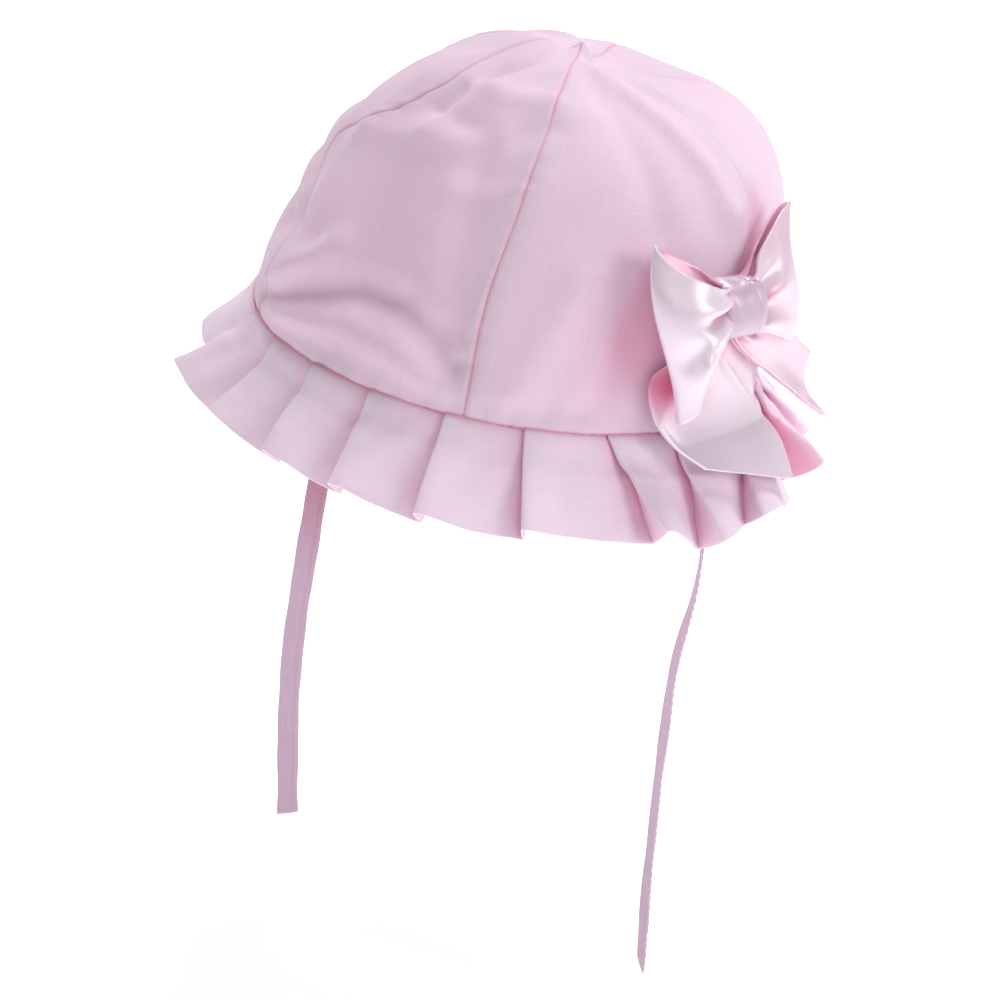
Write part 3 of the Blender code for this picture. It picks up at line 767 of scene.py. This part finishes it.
def addBrim():
    down = np.concatenate([-np.array(brim["allowance"]), np.linspace(0.0, 1.0, brim["rows"]) ** 1.08])
    below = np.clip(down, 0, 1)
    count = len(pleats)
    angles, flares, widths, unders, highs = [], [], [], [], []
    for number, here in enumerate(pleats):
        after = dict(pleats[(number + 1) % count])
        if number == count - 1:
            after["seam"] += 360
            after["hem"] += 360
        startAt = here["seam"] + (here["hem"] - here["seam"]) * below
        endAt = after["seam"] + (after["hem"] - after["seam"]) * below
        under = brim["underSeam"] + (brim["underHem"] - brim["underSeam"]) * below
        under = np.minimum(under, 0.55 * (endAt - startAt))
        under = under * (1 - softPleats.get((number + 1) % count, 0.0) * below)
        opened = np.minimum(1.0, 0.25 + below)
        endWidth = after["width"] * shortPleats.get(number, 1.0)
        for share, high, beneath in pleatSection:
            at = startAt + (endAt - startAt) * min(share, 1.0) + under * beneath
            turn = here["flare"] + (after["flare"] - here["flare"]) * share
            low = 0.5 - here["sink"]
            lift = brim["lift"] * (low + (0.5 - low) * high)
            angles.append(at)
            flares.append(brim["flare"] + turn + lift * opened)
            widths.append(np.full(len(down), here["width"] + (endWidth - here["width"]) * share))
            unders.append(np.full(len(down), 1.0 if beneath > 0 else 0.0))
            highs.append(np.full(len(down), high))
    grid = np.stack([np.array(part) for part in (angles, flares, widths, unders, highs)], -1)
    grid[..., 0] = np.unwrap(np.radians(grid[..., 0]), axis=0)
    # the ring is closed after a whole turn, so the angle is smoothed as a difference
    even = np.linspace(0, 2 * math.pi, len(grid), endpoint=False)[:, None]
    grid[..., 0] -= even
    turns = even
    for _ in range(2):
        grid = chaikin(grid)
        step = 2 * math.pi / len(turns)
        turns = np.stack([turns + 0.25 * step, turns + 0.75 * step], axis=1).reshape(-1, 1)
    angle = grid[..., 0] + turns
    flare, wide, under, high = np.radians(grid[..., 1]), grid[..., 2], grid[..., 3], grid[..., 4]
    length = brim["width"] * wide * below[None]
    ease = flare * (0.55 + 0.45 * np.minimum(1.0, below[None] * 2.5))
    # the layers lie on each other at the seam and come apart towards the hem
    layer = (high - 0.5) * brim["layerGap"] * (1 - 0.4 * below[None])
    radius = crown["radius"] - 0.0007 + 0.0006 * smoothStep(0, 0.05, below)[None]
    radius = radius + length * np.sin(ease) + layer * np.cos(ease)
    height = -0.0003 - length * np.cos(ease) + layer * np.sin(ease)
    inside = smoothStep(0.0, 0.03, -down)[None]
    radius = radius - brim["inset"] * inside
    height = height + np.maximum(-down, 0)[None] * brim["width"]
    places = atTurn(radius, angle, height)
    out = atTurn(np.cos(ease), angle, np.sin(ease))
    slanted = np.stack([angle * 0.08 + 0.6 * length, 0.45 * length, 0 * length], -1)
    wrinkle = brim["wrinkle"] * softNoise(places, 0.017, 4.2)
    wrinkle = wrinkle + brim["slantWrinkle"] * softNoise(slanted, 0.0085, 8.6)
    wrinkle = wrinkle * smoothStep(0.02, 0.35, below)[None]
    gather = np.sin(np.degrees(angle) * 1.7 + 3.0 * softNoise(places, 0.02, 6.1))
    gather = gather * (0.5 + softNoise(slanted, 0.02, 2.2))
    nearSeam = np.exp(-below / 0.22) * smoothStep(0.0, 0.04, below)
    wrinkle = wrinkle + brim["gather"] * gather * nearSeam[None]
    puff = brim["puff"] * bell(below - 0.13, 0.12)[None] * (under < 0.5)
    places = places + out * (wrinkle + puff)[..., None]
    places[..., 2] += brim["hemWave"] * softNoise(places, 0.012, 2.7) * smoothStep(0.6, 1.0, below)[None]
    stepped = np.linalg.norm(np.diff(places, axis=0, append=places[:1]), axis=-1)
    run = np.cumsum(stepped, axis=0)
    uv = np.stack([run, np.broadcast_to(down[None] * brim["width"], run.shape)], -1)
    # painted shade on the cloth that runs under the next fold and on the inner layer, deeper towards the
    # seam, a seam line, and painted shadow under the tails
    deep = brim["underShade"] * np.clip(under, 0, 1) + brim["innerShade"] * bell(high, 0.20)
    deep = deep * (0.45 + 0.55 * (1 - below[None])) + brim["seamColour"] * bell(below, 0.016)[None]
    paintedShadow = bell(np.degrees(angle) - tailShadow["angle"], tailShadow["wide"]) * below[None] ** 0.5
    deep = deep + tailShadow["colour"] * paintedShadow
    part = shellPart(places, brim["wall"], uv, deep, places * level, wrap=True, rim=1.0)
    piece = newMesh("brim_frill", [part])
    keep(piece, litFrillCotton, "brim")
    return piece, float(run[-1].mean())


frill, frillLength = addBrim()


def addSeamStitches():
    # the row of stitches in the ditch between crown and brim
    turn = np.linspace(0, 360, 720, endpoint=False)
    edge = smoothCrown(turn, np.full(turn.shape, 0.002))
    ring = edge * level * (1 - 0.00035 / crown["radius"]) + np.array([0, 0, -0.0001])
    addStitches("brim_seam_stitches", ring, True, Spacing=0.0029, Length=0.0021, Thickness=0.00034, Seed=5)


addSeamStitches()
print("brim made, strip length %.3f" % frillLength)


# bow: a satin ribbon in two loops, a knot and two tails

bow = {
    "angle": 2.0, "height": 0.0375, "ribbon": 0.0500, "flatWidth": 0.0425, "wall": 0.00050, "columns": 48,
    "selvedge": 0.0016, "selvedgeWidth": 0.00035, "selvedgeColour": 0.34, "sag": 0.12,
    "underGap": 0.0006, "underSpread": 0.0011, "gatherIn": (0.0009, 0.085), "gatherOut": (0.0017, 0.13),
}
ribbonColumns = ("share", "upperAlong", "upperUp", "lowerAlong", "lowerUp", "off")
bowRibbons = {
    "bow_loop_front": table(ribbonColumns, (
        (0, -0.08, 0.1, -0.08, -0.14, 0.15),
        (0.06, -0.16, 0.115, -0.165, -0.165, 0.225),
        (0.16, -0.26, 0.145, -0.275, -0.215, 0.3),
        (0.28, -0.375, 0.19, -0.345, -0.325, 0.335),
        (0.41, -0.5, 0.236, -0.35, -0.505, 0.29),
        (0.5, -0.568, 0.312, -0.398, -0.59, 0.21),
        (0.59, -0.505, 0.286, -0.38, -0.56, 0.15),
        (0.73, -0.365, 0.236, -0.3, -0.43, 0.13),
        (0.87, -0.25, 0.182, -0.23, -0.27, 0.13),
        (0.95, -0.16, 0.124, -0.16, -0.17, 0.135),
        (1, -0.08, 0.1, -0.08, -0.14, 0.12),
    )),
    "bow_loop_back": table(ribbonColumns, (
        (0, 0.04, 0.1, 0.07, -0.13, 0.13),
        (0.06, 0.1, 0.15, 0.16, -0.165, 0.165),
        (0.16, 0.165, 0.235, 0.27, -0.2, 0.15),
        (0.28, 0.3, 0.335, 0.39, -0.25, 0.15),
        (0.41, 0.435, 0.415, 0.505, -0.3, 0.155),
        (0.5, 0.565, 0.45, 0.585, -0.325, 0.155),
        (0.59, 0.515, 0.44, 0.535, -0.315, 0.12),
        (0.73, 0.375, 0.365, 0.4, -0.24, 0.095),
        (0.87, 0.2, 0.24, 0.25, -0.2, 0.085),
        (0.95, 0.11, 0.15, 0.16, -0.165, 0.09),
        (1, 0.04, 0.1, 0.07, -0.13, 0.09),
    )),
    "bow_tail_front": table(ribbonColumns, (
        (0, -0.11, -0.12, -0.02, -0.125, 0.07),
        (0.07, -0.18, -0.22, -0.01, -0.225, 0.065),
        (0.18, -0.335, -0.3, 0.03, -0.345, 0.05),
        (0.34, -0.49, -0.41, 0.15, -0.46, 0.045),
        (0.58, -0.47, -0.6, 0.365, -0.67, 0.05),
        (0.8, -0.37, -0.745, 0.465, -0.84, 0.075),
        (1, -0.22, -0.855, 0.36, -1.01, 0.1),
    )),
    "bow_tail_back": table(ribbonColumns, (
        (0, 0.11, -0.12, 0.02, -0.125, 0.075),
        (0.08, 0.2, -0.14, 0.05, -0.22, 0.085),
        (0.3, 0.425, -0.12, 0.24, -0.365, 0.075),
        (0.6, 0.63, -0.26, 0.525, -0.525, 0.085),
        (0.84, 0.735, -0.375, 0.76, -0.7, 0.145),
        (1, 0.8, -0.45, 0.9, -0.86, 0.225),
    )),
}
# the part of the front tail that is turned under, beside its right edge
tailFlap = table(("share", "width"), (
    (0, 0.06), (0.18, 0.3), (0.34, 0.29), (0.5, 0.19), (0.64, 0.07), (0.72, 0.01),
))
# creases and ridges of the loops: their height, their place and reach across and along
# the ribbon, and how far they slant
loopFolds = {
    "bow_loop_front": (
        (-0.0052, 0.43, 0.02, 0.075, 0.17, 0), (-0.002, 0.62, 0.36, 0.1, 0.1, 0),
        (0.0014, 0.24, 0.14, 0.1, 0.14, 0), (0.0015, 0.66, 0.15, 0.11, 0.14, 0),
        (0.0012, 0.8, 0.3, 0.09, 0.16, 0.5),
    ),
    "bow_loop_back": (
        (-0.0022, 0.62, 0.02, 0.09, 0.2, 0), (-0.0014, 0.28, 0.1, 0.08, 0.18, 0),
        (0.0022, 0.44, 0.24, 0.12, 0.18, 0), (0.0012, 0.86, 0.22, 0.09, 0.22, 0),
    ),
}
# below the seam the cloth stands out as the brim does, with a soft bend
hang = {"bend": 0.0060, "stand": 0.0040, "reach": 0.014}


def clothRadius(angle, height):
    # how far from the axis the bonnet's cloth stands at an angle and a height
    share = np.clip(height / crown["height"], 0, 1)
    radius = crown["radius"] * smoothCurve(rings, "height", "radius")(share)
    setback = crown["setback"] * smoothCurve(rings, "height", "setback")(share)
    turn = np.radians(angle)
    above = setback * np.sin(turn) + np.sqrt(np.maximum(radius ** 2 - (setback * np.cos(turn)) ** 2, 0))
    drop = hang["bend"] * np.logaddexp(0, -height / hang["bend"])
    flared = drop * math.tan(math.radians(brim["flare"]))
    flared = flared + hang["stand"] * (1 - np.exp(-np.maximum(-height, 0) / hang["reach"]))
    return np.where(height < 0, crown["radius"], above) + flared


def bowPoint(along, up, off):
    angle = bow["angle"] + np.degrees(along / crown["radius"])
    height = bow["height"] + up
    radius = clothRadius(angle, height) + off
    return atTurn(radius, np.radians(angle), height)


def ribbonPlaces(name, v):
    rows = bowRibbons[name]
    return {k: bow["ribbon"] * smoothCurve(rows, "share", k)(v) for k in ribbonColumns[1:]}


def ribbonGrid(name, u, v, bulge, shape):
    value = ribbonPlaces(name, v)
    along = value["upperAlong"] + (value["lowerAlong"] - value["upperAlong"]) * u
    up = value["upperUp"] + (value["lowerUp"] - value["upperUp"]) * u
    along = along * (1 + bulge * 6.75 * u * (1 - u) ** 2 * np.sin(math.pi * v) ** 2)
    off = value["off"] + bow["sag"] * bow["ribbon"] * u * (1 - u) * np.sin(math.pi * v)
    return bowPoint(along, up, off + shape(name, u, v))


def bump2d(u, v, atU, atV, wideU, wideV):
    return bell(u - atU, wideU) * bell(v - atV, wideV)


def ribbonPart(grid, u, v, loop, shade=0.0):
    # the ribbon's cloth with its two selvedges, a little thicker and marked by a line; shade is an even
    # painted shade over the whole ribbon
    run = np.cumsum(np.linalg.norm(np.diff(grid, axis=1, prepend=grid[:, :1]), axis=-1), axis=1)
    uv = np.stack(np.broadcast_arrays(u * bow["ribbon"], run.mean(0)[None]), -1)
    edge = np.minimum(u, 1 - u) * bow["ribbon"] + 0 * v
    thick = bow["wall"] * (1 + 0.7 * smoothStep(0.0014, 0.0010, edge))
    deep = bow["selvedgeColour"] * bell(edge - bow["selvedge"], bow["selvedgeWidth"])
    if loop:
        # painted shade: the loop's back half, its ends at the knot and a crease beside the knot in deeper
        # pink
        deep = deep + 0.55 * smoothStep(0.52, 0.60, v) + 0.30 * bell(v, 0.06)
        deep = deep + 0.95 * bump2d(u, v, 0.44, 0.11, 0.06, 0.09)
    else:
        # painted shade on the tail near the knot and in a hollow near its upper edge
        deep = deep + 0.50 * bell(v, 0.22) + bump2d(u, v, 0.14, 0.39, 0.30, 0.16)
    outward = grid * level * (np.sign(0.5 - v)[..., None] if loop else 1.0)
    return shellPart(grid, thick, uv, shade + (1 - shade) * deep, outward), float(run[:, -1].mean())


def loopShape(name, u, v):
    # the loop's folds, and the small ones where the ribbon is drawn in under the knot
    push = sum(height * bump2d(u + slant * (v - atV), v, atU, atV, wideU, wideV)
               for height, atU, atV, wideU, wideV, slant in loopFolds[name])
    near = sum(height * bell(far, wide)
               for far, (height, wide) in ((v, bow["gatherIn"]), (1 - v, bow["gatherOut"])))
    return push * smoothStep(0.56, 0.46, v) + np.cos(2 * math.pi * (4.0 * u + 0.5 * u * u) + 0.6) * near


def tailShape(name, u, v):
    pinch = 0.0015 * np.cos(2 * math.pi * 2.8 * u) * bell(v, 0.20)
    wave = 0.0011 * np.sin(math.pi * (1.6 * u + 0.2 + 0.5 * v)) * smoothStep(0.1, 0.6, v)
    # the outer corner of the back tail stands off
    corner = smoothStep(0.6, 1.0, v) * ((u - 0.5) * 0.0020 + 0.0010) if name == "bow_tail_back" else 0.0
    return pinch + wave + corner


def addRibbon(name, steps, shape, bulge=0.0, flap=None, doubled=False, shade=0.0):
    u = np.linspace(0, 1, bow["columns"])[:, None]
    v = np.linspace(0, 1, steps)[None]
    grid = ribbonGrid(name, u, v, bulge, shape)
    part, length = ribbonPart(grid, u, v, shape is loopShape, shade)
    parts = [part]
    if doubled:
        # the half of the ribbon that is folded under along its outer edge
        apart = bow["underGap"] + bow["underSpread"] * smoothStep(0.0, 0.25, u)
        under = grid - unit(grid * level) * apart[..., None]
        parts.append(ribbonPart(under, 0.5 - 0.5 * u, v, False)[0])
    if flap is not None:
        u, v = np.linspace(0, 1, 16)[:, None], np.linspace(0, flap[-1]["share"], 50)[None]
        value = ribbonPlaces(name, v)
        wide = bow["ribbon"] * smoothCurve(flap, "share", "width")(v)
        off = value["off"] - bow["underGap"] - 0.0020 * np.sqrt(u) + shape(name, 1.0, v)
        grid = bowPoint(value["lowerAlong"] - 0.0005 + wide * u, value["lowerUp"] + 0.12 * wide * u, off)
        parts.append(ribbonPart(grid, 0.5 + 0.5 * u, v, False)[0])
    piece = newMesh(name + "_ribbon", parts)
    keep(piece, satin, name)
    return piece, length


bowPieces = [
    addRibbon("bow_loop_front", 150, loopShape, bulge=0.16),
    addRibbon("bow_loop_back", 150, loopShape, bulge=-0.26, shade=0.18),
    addRibbon("bow_tail_front", 90, tailShape, flap=tailFlap),
    addRibbon("bow_tail_back", 90, tailShape, doubled=True, shade=0.22),
]

knot = {
    "width": 0.0160, "height": 0.0165, "depth": 0.0112, "stand": 0.0003, "drop": 0.0012, "wall": 0.0006,
    "around": 72, "across": 52, "roundness": 3.4, "squareness": 0.75,
    "creases": ((-0.74, 0.09, 0.00022), (-0.10, 0.20, 0.00024), (0.46, 0.10, 0.00048)),
}


def addKnot():
    # a band of ribbon wrapped over the loops
    turn = np.linspace(0, 2 * math.pi, knot["around"], endpoint=False)[:, None]
    share = np.linspace(-1, 1, knot["across"])[None]
    body = np.maximum(1 - np.abs(share) ** knot["roundness"], 0.0) ** (1 / knot["roundness"])
    rise, reach = (np.sign(w) * np.abs(w) ** knot["squareness"] for w in (np.sin(turn), np.cos(turn)))
    up = rise * knot["height"] / 2 * (0.88 + 0.12 * share ** 2) * (0.45 + 0.55 * body)
    out = reach * knot["depth"] / 2 * (0.5 + 0.5 * body)
    fold = sum(depth * bell(share + 0.10 * np.sin(turn) - place, wide) * body
               for place, wide, depth in knot["creases"])
    out = out - fold * np.cos(turn)
    up = up - 0.6 * fold * np.sin(turn)
    along = share * (knot["width"] / 2 - 0.0002) * (1 - 0.06 * np.cos(turn) ** 2) + 0 * turn
    grid = bowPoint(along, up - knot["drop"], knot["stand"] + knot["depth"] / 2 + out)
    run = np.cumsum(np.linalg.norm(np.diff(grid, axis=0, prepend=grid[:1]), axis=-1), axis=0)
    uv = np.stack(np.broadcast_arrays(along, run), -1)
    wall = np.maximum(knot["wall"] * body, 0.0001)
    # painted shade in the knot's creases and at its ends, where it meets the loops
    deep = np.clip(420 * fold, 0, 0.4) + 0.35 * smoothStep(0.80, 1.0, np.abs(share))
    part = shellPart(grid, wall, uv, deep, grid - grid.mean(axis=0, keepdims=True), wrap=True)
    keep(newMesh("bow_knot_wrap", [part]), shadedKnotSatin, "bow_knot")


addKnot()
print("bow made")


# floor and light

studio = {"floorHeight": -0.1915, "floorSize": 30.0, "floorGrey": 0.90, "floorGlow": 0.61,
          "ambient": 0.19, "fill": (1.0, 0.86, 0.93), "sweep": (0.11, 0.20)}
lights = table(("name", "azimuth", "elevation", "distance", "size", "power", "colour"), (
    ("key", 103, 30, 1.6, 0.8, 6.9, (1.0, 0.995, 1.0)),
    ("front", 46, 34, 1.8, 0.9, 2.0, (1.0, 1.0, 1.0)),
    ("top", -148, 70, 1.8, 1.0, 26.5, (1.0, 0.995, 1.0)),
))


def addFloor():
    half, z = studio["floorSize"] / 2, studio["floorHeight"]
    corners = [(-half, -half, z), (half, -half, z), (half, half, z), (-half, half, z)]
    mesh = bpy.data.meshes.new("floor")
    mesh.from_pydata(corners, [], [(0, 1, 2, 3)])
    floor = addObject("floor", mesh)
    material, _, shader = newMaterial("white floor")
    finish = {
        "Base Color": (*[studio["floorGrey"]] * 3, 1), "Roughness": 0.9, "Specular IOR Level": 0.1,
        "Emission Color": (1, 1, 1, 1), "Emission Strength": studio["floorGlow"],
    }
    for socket, value in finish.items():
        shader.inputs[socket].default_value = value
    mesh.materials.append(material)


def addLight(name, azimuth, elevation, distance, size, power, colour):
    back = wayBack(azimuth, elevation)
    data = bpy.data.lights.new(name, "AREA")
    data.shape, data.size, data.energy, data.color = "DISK", size, power, colour
    lamp = addObject(name, data)
    lamp.location = back * distance
    lamp.rotation_mode = "QUATERNION"
    lamp.rotation_quaternion = back.to_track_quat("Z", "Y")


def addStudio():
    world = bpy.data.worlds.new("studio")
    bpy.context.scene.world = world
    world.use_nodes = True
    # a soft pink fill from above, and a white sweep behind the floor's edge
    tree = world.node_tree
    place = addNode(tree, "ShaderNodeTexCoord")
    direction = addNode(tree, "ShaderNodeSeparateXYZ")
    low, high = studio["sweep"]
    span = {"From Min": low, "From Max": high, "To Min": 1.0, "To Max": 0.0}
    sweep = addNode(tree, "ShaderNodeMapRange", span, interpolation_type="SMOOTHSTEP")
    fill = tuple(studio["ambient"] * part for part in studio["fill"])
    joinAll(tree, (
        (place.outputs["Generated"], direction.inputs["Vector"]),
        (direction.outputs["Z"], sweep.inputs["Value"]),
        (mixColour(tree, sweep.outputs["Result"], fill, (1.0, 1.0, 1.0)),
         tree.nodes["Background"].inputs["Color"]),
    ))
    addFloor()
    for light in lights:
        addLight(**light)
    bpy.context.scene.view_settings.view_transform = "Standard"


addStudio()
print("studio made")
